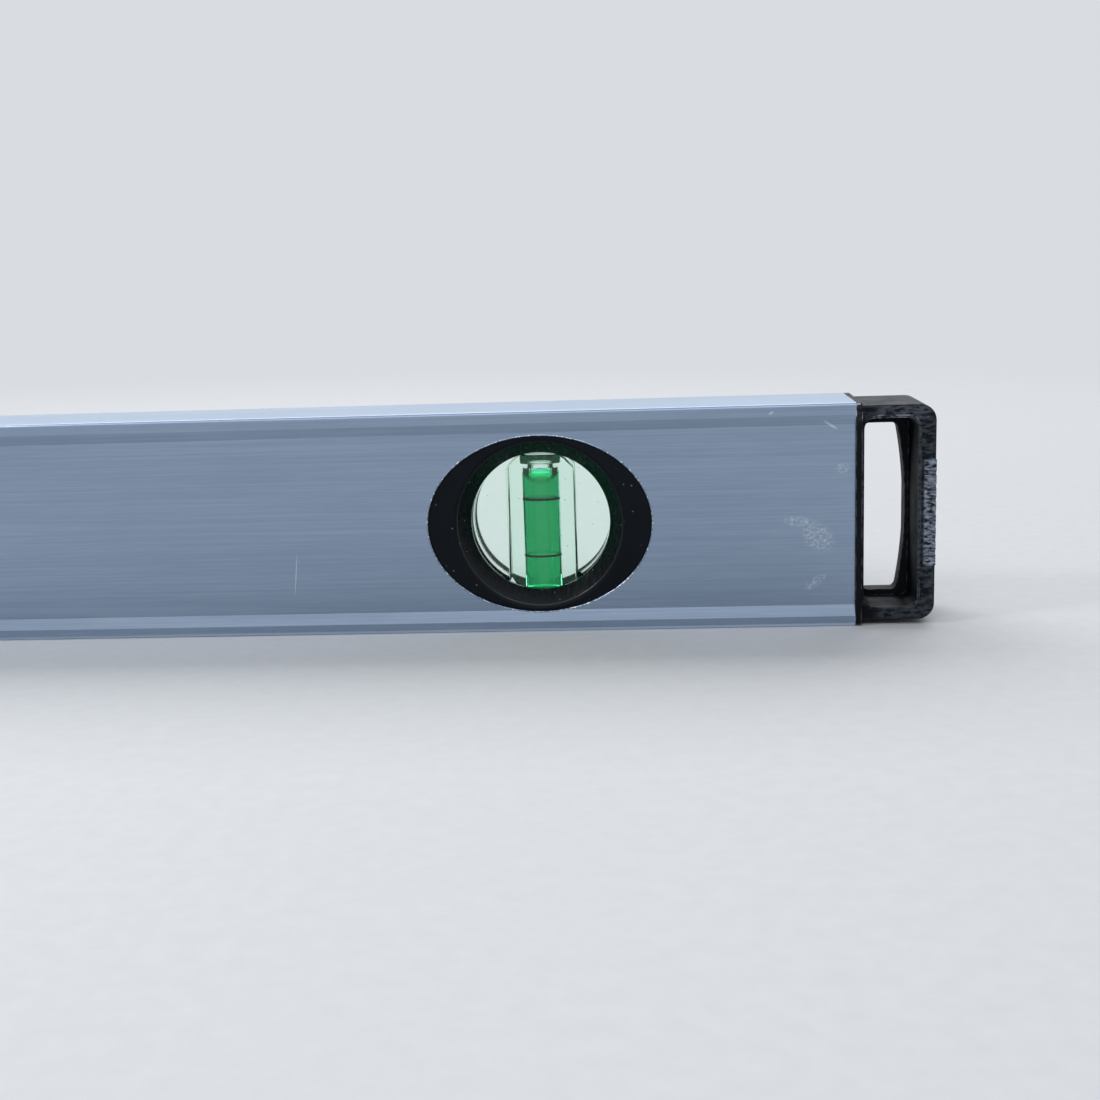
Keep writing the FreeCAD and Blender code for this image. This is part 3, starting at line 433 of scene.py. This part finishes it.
def merged_copy(node):
    """The node's mesh as a bmesh, with its loose triangles joined and its flat faces made whole."""
    shape = bmesh.new()
    shape.from_mesh(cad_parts[node].data)
    bmesh.ops.remove_doubles(shape, verts=shape.verts, dist=0.001 * MM)
    bmesh.ops.dissolve_limit(shape, angle_limit=math.radians(0.5), verts=shape.verts, edges=shape.edges)
    return shape


def edge_middle(edge):
    return (edge.verts[0].co + edge.verts[1].co) / 2


def is_sharp(edge, degrees=32):
    return edge.is_manifold and edge.calc_face_angle(0.0) > math.radians(degrees)


def round_edges(shape, edges, width):
    bmesh.ops.bevel(shape, geom=edges, offset=width, offset_type="OFFSET", affect="EDGES", segments=2,
                    profile=0.5, material=-1, clamp_overlap=True)


def add_piece(name, shape, slot, materials, *nodes):
    """Turn the bmesh into a finished piece that rides on the level and stands for the nodes, if any."""
    mesh = bpy.data.meshes.new(name)
    shape.to_mesh(mesh)
    shape.free()
    for material in materials:
        mesh.materials.append(material)
    mesh.shade_smooth()
    mesh.set_sharp_from_angle(angle=math.radians(35))
    piece = bpy.data.objects.new(name, mesh)
    bpy.context.scene.collection.objects.link(piece)
    weighted = piece.modifiers.new("Even shading", "WEIGHTED_NORMAL")
    weighted.keep_sharp = True
    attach(piece, "root")
    if nodes:
        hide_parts(*nodes)


def spun(points):
    """A closed solid spun from a half outline, given as (radius, height) pairs from axis to axis."""
    shape = bmesh.new()
    corners = [shape.verts.new((radius, 0.0, height)) for radius, height in points]
    edges = [shape.edges.new(pair) for pair in zip(corners, corners[1:])]
    bmesh.ops.spin(shape, geom=corners + edges, cent=(0, 0, 0), axis=(0, 0, 1), angle=math.tau,
                   steps=72, use_merge=True)
    bmesh.ops.remove_doubles(shape, verts=shape.verts, dist=0.002 * MM)
    bmesh.ops.recalc_face_normals(shape, faces=shape.faces)
    return shape


def lay_down(shape):
    """Turn a shape that was made upright so that it lies along the level."""
    quarter = Matrix.Rotation(math.radians(90), 3, "Y")
    bmesh.ops.rotate(shape, cent=(0, 0, 0), matrix=quarter, verts=shape.verts)


def bridge_round(shape, loops):
    """Join the loops of edges one after another, and the last to the first."""
    for first, second in zip(loops, loops[1:] + loops[:1]):
        bmesh.ops.bridge_loops(shape, edges=list(first | second))
    bmesh.ops.recalc_face_normals(shape, faces=shape.faces)


def insert_centre(prefix):
    """The middle of a vial insert, from its front oval."""
    low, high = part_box(prefix + "_front_bezel")
    return Vector(((low.x + high.x) / 2, 0.0, (low.z + high.z) / 2))


def panel_depth(height):
    """The depth of the profile's front at a height: on the panel, or on the slope below it."""
    return PANEL_DEPTH + max(0.0, BOTTOM_SLOPE_TOP - height) * BOTTOM_SLOPE


def oval_loop(shape, centre, half_wide, half_high, side, grown, lifted):
    """A ring of corners on an oval cut-out, grown outwards and lifted off the panel; side is -1 in front."""
    corners = bmesh.ops.create_circle(shape, segments=420, radius=1.0)["verts"]
    for corner in corners:
        across, up = corner.co.x, corner.co.y
        height = centre.z + (half_high + grown) * up
        corner.co = (centre.x + (half_wide + grown) * across,
                     side * (panel_depth(height) + lifted), height)
    return corners


def make_cut_edge(prefix, side, material, sizes):
    """The bright broken edge that the milling cutter left round an oval cut-out, with its notches."""
    low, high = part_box("%s_%s_bezel" % (prefix, side))
    sign = -1 if side == "front" else 1
    half_wide = (high.x - low.x) / 2 + CUT_OUT_GAP
    half_high = (high.z - low.z) / 2 + CUT_OUT_GAP
    centre = insert_centre(prefix)
    shape = bmesh.new()
    # The edge's section, from its outer rim over its crest and down into the cut-out
    section = [(sizes.cut_edge, -0.01 * MM), (0.03 * MM, 0.06 * MM), (-0.08 * MM, -0.04 * MM),
               (-0.09 * MM, -0.5 * MM), (0.1 * MM, -0.5 * MM)]
    rings = [oval_loop(shape, centre, half_wide, half_high, sign, grown, lifted) for grown, lifted in section]
    chatter = random.Random(prefix + side)
    for outer, crest in zip(rings[0], rings[1]):
        notch = sizes.cut_notch * chatter.random() ** 3
        outward = Vector((outer.co.x - centre.x, 0.0, outer.co.z - centre.z)).normalized()
        outer.co += outward * notch
        crest.co += outward * notch * chatter.random()
    bridge_round(shape, [{edge for corner in ring for edge in corner.link_edges} for ring in rings])
    add_piece("%s_%s_cut_edge" % (prefix, side), shape, "brushed_aluminium", [material])


def make_profile(sizes, colours):
    """The extrusion keeps its shape and takes its finish; each cut-out gets its milled edge."""
    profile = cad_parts["profile"]
    profile.material_slots[0].material = brushed_aluminium(colours)
    material = milled_aluminium(colours)
    for prefix in VIALS:
        for side in ("front", "rear"):
            make_cut_edge(prefix, side, material, sizes)


def make_end_cap(side, material, sizes):
    """A moulded cap with rounded edges outside the profile; its hidden spigot stays as it is."""
    node = "end_cap_" + side
    shape = merged_copy(node)
    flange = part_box("profile")[1].x
    outside = [edge for edge in shape.edges
               if is_sharp(edge) and abs(edge_middle(edge).x) > flange + 0.05 * MM]
    round_edges(shape, outside, sizes.cap_edge)
    add_piece("moulded_cap_" + side, shape, "cap_black", [material], node)


def make_insert(prefix, side, materials, sizes):
    """Half of a vial insert: a satin oval plate and a polished funnel with rounded edges."""
    node = "%s_%s_bezel" % (prefix, side)
    shape = merged_copy(node)
    centre = insert_centre(prefix)
    low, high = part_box(node)
    plate = max(abs(low.y), abs(high.y))
    rims = []
    for edge in shape.edges:
        middle = edge_middle(edge) - centre
        away = math.hypot(middle.x, middle.z)
        level = edge.verts[0].co.y == edge.verts[1].co.y
        if level and is_sharp(edge, 20) and abs(middle.y) > SEAT_DEPTH and away > WINDOW_RADIUS:
            rims.append(edge)
    round_edges(shape, rims, sizes.insert_edge)
    for face in shape.faces:
        middle = face.calc_center_median() - centre
        in_funnel = math.hypot(middle.x, middle.z) < FUNNEL_RADIUS and abs(middle.y) < plate - 0.1 * MM
        face.material_index = 1 if in_funnel else 0
    add_piece("%s_%s_insert" % (prefix, side), shape, "insert_black", materials, node)


def make_block(prefix, material, sizes):
    """The clear block with its round wings; the edges round its bore and plug seat stay as they are."""
    node = prefix + "_vial_block"
    shape = merged_copy(node)
    centre = insert_centre(prefix)
    lying = VIALS[prefix]
    outer = []
    for edge in shape.edges:
        middle = edge_middle(edge) - centre
        from_bore = math.hypot(middle.y, middle.z if lying else middle.x)
        if is_sharp(edge) and from_bore > PLUG_SEAT_RADIUS:
            outer.append(edge)
    round_edges(shape, outer, sizes.block_edge)
    add_piece(prefix + "_clear_block", shape, "clear_acrylic", [material], node)


def make_upright_liquid(prefix, material, sizes):
    """The liquid of a plumb vial: it wets the bore's wall and climbs it round the bubble."""
    node = prefix + "_liquid"
    low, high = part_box(node)
    radius = (high.x - low.x) / 2 + sizes.wetting
    rim = high.z + sizes.bubble_climb
    outline = [(0.0, low.z - sizes.wetting), (radius, low.z - sizes.wetting)]
    bowl_steps = 16
    for step in range(bowl_steps + 1):
        lean = math.radians(90 * step / bowl_steps)
        outline.append((radius * math.cos(lean), rim - sizes.bubble_depth * math.sin(lean)))
    shape = spun(outline)
    bmesh.ops.translate(shape, vec=((low.x + high.x) / 2, 0.0, 0.0), verts=shape.verts)
    add_piece(prefix + "_green_liquid", shape, "vial_liquid", [material], node)


def make_lying_liquid(prefix, material, sizes):
    """The liquid of the level vial, with its long bubble left out under the bore's upper side."""
    node = prefix + "_liquid"
    low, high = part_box(node)
    centre = insert_centre(prefix)
    radius = (high.y - low.y) / 2 + sizes.wetting
    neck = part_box(prefix + "_plug")[0].x - NECK_LENGTH
    outline = [(0.0, low.x - sizes.wetting), (radius, low.x - sizes.wetting), (radius, neck),
               (NECK_RADIUS, neck), (NECK_RADIUS, high.x), (0.0, high.x)]
    shape = spun(outline)
    lay_down(shape)
    middle = (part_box(prefix + "_left_ring")[0].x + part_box(prefix + "_right_ring")[1].x) / 2
    bubble = bmesh.ops.create_uvsphere(shape, u_segments=40, v_segments=20, radius=0.5)["verts"]
    bmesh.ops.scale(shape, vec=LEVEL_BUBBLE, verts=bubble)
    # A film of liquid stays between the bubble and the wall, and the bubble follows the wall's curve
    skin = radius - 0.06 * MM
    bmesh.ops.translate(shape, vec=(middle, 0.0, skin - LEVEL_BUBBLE.z / 2), verts=bubble)
    for corner in bubble:
        away = math.hypot(corner.co.y, corner.co.z)
        if away > skin:
            corner.co.y *= skin / away
            corner.co.z *= skin / away
    inner = {face for corner in bubble for face in corner.link_faces}
    bmesh.ops.reverse_faces(shape, faces=list(inner))
    bmesh.ops.translate(shape, vec=(0.0, centre.y, centre.z), verts=shape.verts)
    add_piece(prefix + "_green_liquid", shape, "vial_liquid", [material], node)


def make_ring(node, material, sizes):
    """A ring in the bore: a short tube with rounded edges, just proud of the liquid."""
    low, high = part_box(node)
    extent = high - low
    lying = extent.x < extent.z
    width = min(extent.x, extent.z)
    outer = extent.y / 2 + 4 * sizes.wetting
    inner = outer - RING_WALL
    shape = bmesh.new()
    loops = []
    for radius, along in ((outer, -0.5), (outer, 0.5), (inner, 0.5), (inner, -0.5)):
        made = bmesh.ops.create_circle(shape, segments=72, radius=radius)["verts"]
        bmesh.ops.translate(shape, vec=(0.0, 0.0, along * width), verts=made)
        loops.append({edge for corner in made for edge in corner.link_edges})
    bridge_round(shape, loops)
    round_edges(shape, [edge for edge in shape.edges if is_sharp(edge)], 0.03 * MM)
    if lying:
        lay_down(shape)
    bmesh.ops.translate(shape, vec=(low + high) / 2, verts=shape.verts)
    add_piece(node + "_rubber", shape, "ring_black", [material], node)


def make_softened(node, name, slot, material, width):
    """A copy of a node with all its sharp edges rounded."""
    shape = merged_copy(node)
    round_edges(shape, [edge for edge in shape.edges if is_sharp(edge)], width)
    add_piece(name, shape, slot, [material], node)


class LEVEL_OT_profile(bpy.types.Operator):
    """Make the brushed aluminium profile with its milled cut-outs"""

    bl_idname = "spirit_level.profile"
    bl_label = "Aluminium profile"

    def execute(self, context):
        make_profile(context.scene.level_sizes, context.scene.level_colours)
        return {"FINISHED"}


class LEVEL_OT_end_caps(bpy.types.Operator):
    """Make both moulded end caps"""

    bl_idname = "spirit_level.end_caps"
    bl_label = "End caps"

    def execute(self, context):
        material = moulded_cap_plastic(context.scene.level_colours)
        for side in ("right", "left"):
            make_end_cap(side, material, context.scene.level_sizes)
        return {"FINISHED"}


class LEVEL_OT_inserts(bpy.types.Operator):
    """Make the oval vial inserts, front and rear"""

    bl_idname = "spirit_level.inserts"
    bl_label = "Vial inserts"

    def execute(self, context):
        colours = context.scene.level_colours
        materials = [satin_insert_plastic(colours), polished_insert_plastic(colours)]
        for prefix in VIALS:
            for side in ("front", "rear"):
                make_insert(prefix, side, materials, context.scene.level_sizes)
        return {"FINISHED"}


class LEVEL_OT_blocks(bpy.types.Operator):
    """Make the clear vial blocks and the plugs that close their bores"""

    bl_idname = "spirit_level.blocks"
    bl_label = "Clear blocks"

    def execute(self, context):
        sizes = context.scene.level_sizes
        material = polished_acrylic(context.scene.level_colours)
        for prefix in VIALS:
            make_block(prefix, material, sizes)
            plug = prefix + "_plug"
            make_softened(plug, prefix + "_clear_plug", "clear_acrylic", material, sizes.plug_edge)
        return {"FINISHED"}


class LEVEL_OT_liquids(bpy.types.Operator):
    """Make the green liquid of each vial, with its bubble"""

    bl_idname = "spirit_level.liquids"
    bl_label = "Vial liquids"

    def execute(self, context):
        material = vial_liquid(context.scene.level_colours)
        for prefix, lying in VIALS.items():
            make = make_lying_liquid if lying else make_upright_liquid
            make(prefix, material, context.scene.level_sizes)
        return {"FINISHED"}


class LEVEL_OT_rings(bpy.types.Operator):
    """Make the two rings of each vial"""

    bl_idname = "spirit_level.rings"
    bl_label = "Rings"

    def execute(self, context):
        material = moulded_rubber(context.scene.level_colours)
        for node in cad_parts:
            if node.endswith("_ring"):
                make_ring(node, material, context.scene.level_sizes)
        return {"FINISHED"}


class LEVEL_OT_magnets(bpy.types.Operator):
    """Make the magnets in the base"""

    bl_idname = "spirit_level.magnets"
    bl_label = "Magnets"

    def execute(self, context):
        material = nickel_plate(context.scene.level_colours)
        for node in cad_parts:
            if node.startswith("magnet"):
                width = context.scene.level_sizes.magnet_edge
                make_softened(node, "plated_" + node, "magnet_nickel", material, width)
        return {"FINISHED"}


def make_floor(colours):
    """A round pale floor just under the level; it fades out at its rim and isn't seen from below."""
    shape = bmesh.new()
    disc = bmesh.ops.create_circle(shape, cap_ends=True, segments=96, radius=1.1)["verts"]
    # A little below the base, because two faces in one place render in black wedges
    bmesh.ops.translate(shape, vec=(0.0, 0.0, -0.2 * MM), verts=disc)
    mesh = bpy.data.meshes.new("studio_floor")
    shape.to_mesh(mesh)
    shape.free()
    floor = bpy.data.objects.new("studio_floor", mesh)
    bpy.context.scene.collection.objects.link(floor)
    mesh.materials.append(matt_paper(colours))


def make_lamp(name, location, target, size, power):
    """A soft rectangular lamp aimed at a point."""
    data = bpy.data.lights.new(name, "AREA")
    data.shape = "RECTANGLE"
    data.size, data.size_y = size
    data.energy = power
    lamp = bpy.data.objects.new(name, data)
    bpy.context.scene.collection.objects.link(lamp)
    lamp.location = location
    lamp.rotation_euler = (Vector(target) - Vector(location)).to_track_quat("-Z", "Y").to_euler()


def make_surroundings():
    """An even pale surround: full strength where it is seen or reflected, softer as light."""
    world = bpy.data.worlds.new("pale_surround")
    bpy.context.scene.world = world
    world.use_nodes = True
    tree = world.node_tree
    tree.nodes.clear()
    rays = add_node(tree, "LightPath")
    seen = add_node(tree, "Math", (rays.outputs["Is Camera Ray"], rays.outputs["Is Glossy Ray"]),
                    operation="MAXIMUM")
    seen = add_node(tree, "Math", (seen, rays.outputs["Is Transmission Ray"]), operation="MAXIMUM")
    light = add_node(tree, "Background", {"Color": linear("#F7FAFF"), "Strength": 0.3})
    backdrop = add_node(tree, "Background", {"Color": linear("#D9DCE0"), "Strength": 1.0})
    mixed = add_node(tree, "MixShader", (seen, light, backdrop))
    add_node(tree, "OutputWorld", {"Surface": mixed})


def make_camera():
    """The photograph's viewpoint, solved from the level's long edges: by its right end, a little above."""
    data = bpy.data.cameras.new("viewpoint")
    data.lens = 50.26
    data.sensor_width = 36.0
    data.clip_start = 0.01
    camera = bpy.data.objects.new("viewpoint", data)
    bpy.context.scene.collection.objects.link(camera)
    right = Vector((0.99765, 0.06011, -0.03273))
    up = Vector((0.02068, 0.19112, 0.98134))
    forward = Vector((-0.06525, 0.97972, -0.18944))
    camera.matrix_world = Matrix((right, up, -forward)).transposed().to_4x4()
    camera.location = (0.2369, -0.3504, 0.0841)
    bpy.context.scene.camera = camera


class LEVEL_OT_stage(bpy.types.Operator):
    """Make the pale floor, the soft lamps and the camera"""

    bl_idname = "spirit_level.stage"
    bl_label = "Stage"

    def execute(self, context):
        make_floor(context.scene.level_colours)
        make_surroundings()
        make_lamp("key_lamp", (0.10, 1.30, 1.40), (0.15, 0.0, 0.02), (3.0, 1.3), 33.0)
        make_lamp("front_lamp", (0.20, -0.95, 0.95), (0.15, 0.0, 0.02), (1.2, 0.4), 3.2)
        make_lamp("side_lamp", (-0.15, -0.20, 0.40), (0.21, 0.0, 0.02), (0.12, 0.12), 0.5)
        make_camera()
        context.scene.view_settings.view_transform = "Standard"
        return {"FINISHED"}


OPERATORS = (LEVEL_OT_profile, LEVEL_OT_end_caps, LEVEL_OT_inserts, LEVEL_OT_blocks, LEVEL_OT_liquids,
             LEVEL_OT_rings, LEVEL_OT_magnets, LEVEL_OT_stage)


class VIEW3D_PT_spirit_level(bpy.types.Panel):
    """Lists the level's pieces, its sizes and its colours"""

    bl_label = "Spirit Level"
    bl_space_type = "VIEW_3D"
    bl_region_type = "UI"
    bl_category = "Spirit Level"

    def draw(self, context):
        for operator in OPERATORS:
            self.layout.operator(operator.bl_idname)
        for group in (context.scene.level_sizes, context.scene.level_colours):
            column = self.layout.column()
            for name in group.__annotations__:
                column.prop(group, name)


CLASSES = (LevelSizes, LevelColours, *OPERATORS, VIEW3D_PT_spirit_level)


def register():
    for item in CLASSES:
        bpy.utils.register_class(item)
    bpy.types.Scene.level_sizes = bpy.props.PointerProperty(type=LevelSizes)
    bpy.types.Scene.level_colours = bpy.props.PointerProperty(type=LevelColours)


def unregister():
    del bpy.types.Scene.level_colours
    del bpy.types.Scene.level_sizes
    for item in reversed(CLASSES):
        bpy.utils.unregister_class(item)


def main():
    """Run every operator in order."""
    register()
    bpy.ops.spirit_level.profile()
    bpy.ops.spirit_level.end_caps()
    bpy.ops.spirit_level.inserts()
    bpy.ops.spirit_level.blocks()
    bpy.ops.spirit_level.liquids()
    bpy.ops.spirit_level.rings()
    bpy.ops.spirit_level.magnets()
    bpy.ops.spirit_level.stage()


if __name__ == "__main__":
    main()
